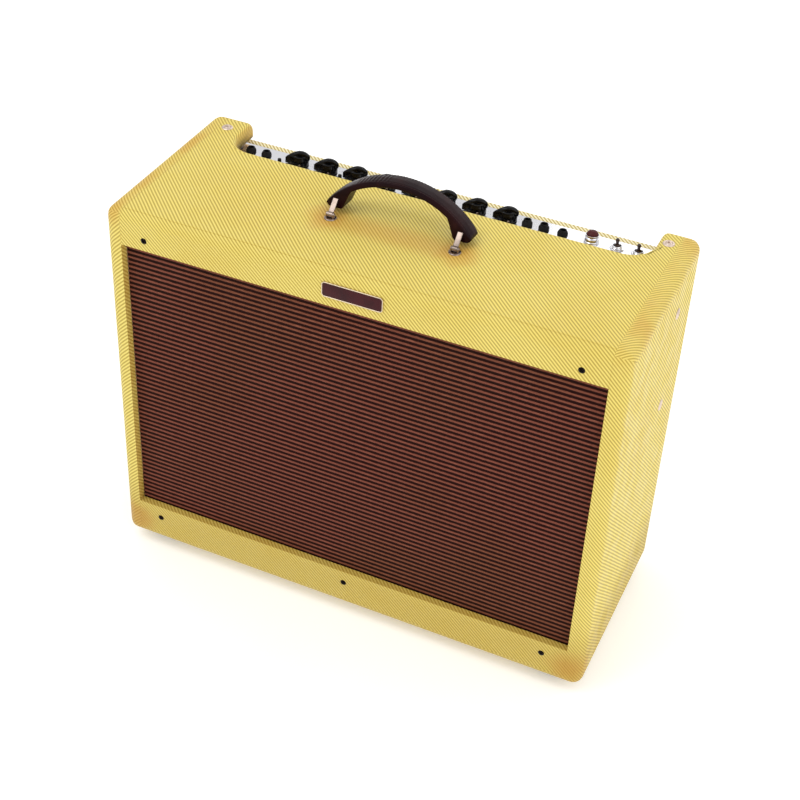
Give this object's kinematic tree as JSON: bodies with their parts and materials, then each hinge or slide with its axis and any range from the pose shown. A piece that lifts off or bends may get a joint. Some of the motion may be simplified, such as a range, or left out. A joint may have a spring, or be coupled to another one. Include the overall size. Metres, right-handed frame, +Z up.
{
  "type": "guitar combo amplifier",
  "caption": "Tweed-covered open-back guitar combo amplifier: woven grille over a loudspeaker, top control panel with pointer knobs, toggles and a lamp, arched strap handle.",
  "frame": {"origin": "centre of the footprint, on the surface that the feet stand on", "axes": "+X to the right seen from the front, +Y towards the open back, +Z up"},
  "size_m": [0.601, 0.2572, 0.5293],
  "materials": {
    "tweed": "woven yellow tweed cloth glued over pine, lacquered",
    "pine": "bare wood",
    "grille_cloth": "coarse woven dark red-brown cloth with pale brown stripes",
    "badge": "dark red enamel with a pale edge",
    "black_screw": "blackened",
    "nickel": "nickel plated",
    "rubber": "matte",
    "steel": "plated",
    "chrome": "polished",
    "black_plastic": "satin",
    "nut_black": "satin",
    "knob_plastic": "glossy",
    "jewel": "faceted",
    "board_green": "solder mask",
    "capacitor_blue": "shrink sleeve over aluminium",
    "transformer_black": "painted",
    "tube_glass": "clear",
    "cone_paper": "pressed pulp",
    "copper": "wound wire",
    "spider_cloth": "resin-stiffened",
    "magnet_steel": "ceramic magnet between plated steel plates",
    "strap": "dark red-brown, ribbed and stitched"
  },
  "bodies": {
    "cabinet": {"left_side_board": "tweed", "right_side_board": "tweed", "top_board": "tweed", "bottom_board": "tweed", "upper_rail": "tweed", "lower_rail": "tweed", "baffle_board": "pine", "grille_cloth": "grille_cloth", "badge_plate": "badge", "rail_screws": "black_screw", "upper_back_panel": "tweed", "lower_back_panel": "tweed", "panel_cleats": "pine", "back_panel_screws": "nickel", "rubber_feet": "rubber", "chassis_pan": "steel", "control_panel": "chrome", "cup_washer_screws": "nickel", "input_jacks": "black_plastic", "loop_jacks": "black_plastic", "panel_nuts": "nut_black", "potentiometers": "steel", "button_switches": "steel", "toggle_switches": "chrome", "jewel_bezel": "chrome", "jewel_lens": "jewel", "circuit_board": "board_green", "filter_capacitors": "capacitor_blue", "power_transformer": "transformer_black", "output_transformer": "transformer_black", "tube_sockets": "black_plastic", "preamp_tubes": "tube_glass", "tube_shields": "steel", "power_tubes": "tube_glass", "mains_inlet": "black_plastic", "fuse_holder": "black_plastic", "reverb_tank": "steel", "speaker_frame": "steel", "speaker_surround": "cone_paper", "speaker_spider": "spider_cloth", "speaker_magnet": "magnet_steel", "speaker_bolts": "steel", "handle_posts": "nickel"},
    "volume_knob": {"volume_knob": "knob_plastic"},
    "drive_knob": {"drive_knob": "knob_plastic"},
    "treble_knob": {"treble_knob": "knob_plastic"},
    "bass_knob": {"bass_knob": "knob_plastic"},
    "middle_knob": {"middle_knob": "knob_plastic"},
    "master_knob": {"master_knob": "knob_plastic"},
    "reverb_knob": {"reverb_knob": "knob_plastic"},
    "presence_knob": {"presence_knob": "knob_plastic"},
    "bright_button": {"bright_button": "black_plastic"},
    "select_button": {"select_button": "black_plastic"},
    "standby_lever": {"standby_lever": "chrome"},
    "power_lever": {"power_lever": "chrome"},
    "handle": {"handle_strap": "strap", "handle_loops": "nickel"},
    "cone": {"speaker_cone": "cone_paper", "dust_cap": "cone_paper", "voice_coil": "copper"}
  },
  "joints": [
    {"name": "volume_turn", "type": "hinge", "parent": "cabinet", "child": "volume_knob", "pos_m": [-0.174, 0.099, 0.4523], "axis": [0, 0.0872, 0.9962], "range_deg": [-80, 220]},
    {"name": "drive_turn", "type": "hinge", "parent": "cabinet", "child": "drive_knob", "pos_m": [-0.137, 0.099, 0.4523], "axis": [0, 0.0872, 0.9962], "range_deg": [-80, 220]},
    {"name": "treble_turn", "type": "hinge", "parent": "cabinet", "child": "treble_knob", "pos_m": [-0.1, 0.099, 0.4523], "axis": [0, 0.0872, 0.9962], "range_deg": [-80, 220]},
    {"name": "bass_turn", "type": "hinge", "parent": "cabinet", "child": "bass_knob", "pos_m": [-0.063, 0.099, 0.4523], "axis": [0, 0.0872, 0.9962], "range_deg": [-80, 220]},
    {"name": "middle_turn", "type": "hinge", "parent": "cabinet", "child": "middle_knob", "pos_m": [-0.026, 0.099, 0.4523], "axis": [0, 0.0872, 0.9962], "range_deg": [-80, 220]},
    {"name": "master_turn", "type": "hinge", "parent": "cabinet", "child": "master_knob", "pos_m": [0.011, 0.099, 0.4523], "axis": [0, 0.0872, 0.9962], "range_deg": [-80, 220]},
    {"name": "reverb_turn", "type": "hinge", "parent": "cabinet", "child": "reverb_knob", "pos_m": [0.048, 0.099, 0.4523], "axis": [0, 0.0872, 0.9962], "range_deg": [-80, 220]},
    {"name": "presence_turn", "type": "hinge", "parent": "cabinet", "child": "presence_knob", "pos_m": [0.085, 0.099, 0.4523], "axis": [0, 0.0872, 0.9962], "range_deg": [-80, 220]},
    {"name": "bright_press", "type": "slide", "parent": "cabinet", "child": "bright_button", "axis": [0, -0.0872, -0.9962], "range_m": [0, 0.0025], "stiffness_N_per_m": 300},
    {"name": "select_press", "type": "slide", "parent": "cabinet", "child": "select_button", "axis": [0, -0.0872, -0.9962], "range_m": [0, 0.0025], "stiffness_N_per_m": 300},
    {"name": "standby_flip", "type": "hinge", "parent": "cabinet", "child": "standby_lever", "pos_m": [0.2124, 0.09923, 0.45489], "axis": [1, 0, 0], "range_deg": [-24, 0]},
    {"name": "power_flip", "type": "hinge", "parent": "cabinet", "child": "power_lever", "pos_m": [0.2366, 0.09923, 0.45489], "axis": [1, 0, 0], "range_deg": [-24, 0]},
    {"name": "handle_tilt", "type": "hinge", "parent": "cabinet", "child": "handle", "pos_m": [0, -0.0248, 0.4806], "axis": [1, 0, 0], "range_deg": [0, 100]},
    {"name": "cone_travel", "type": "slide", "parent": "cabinet", "child": "cone", "axis": [0, -0.9998, 0.019], "range_m": [-0.003, 0.003], "stiffness_N_per_m": 3000}
  ]
}
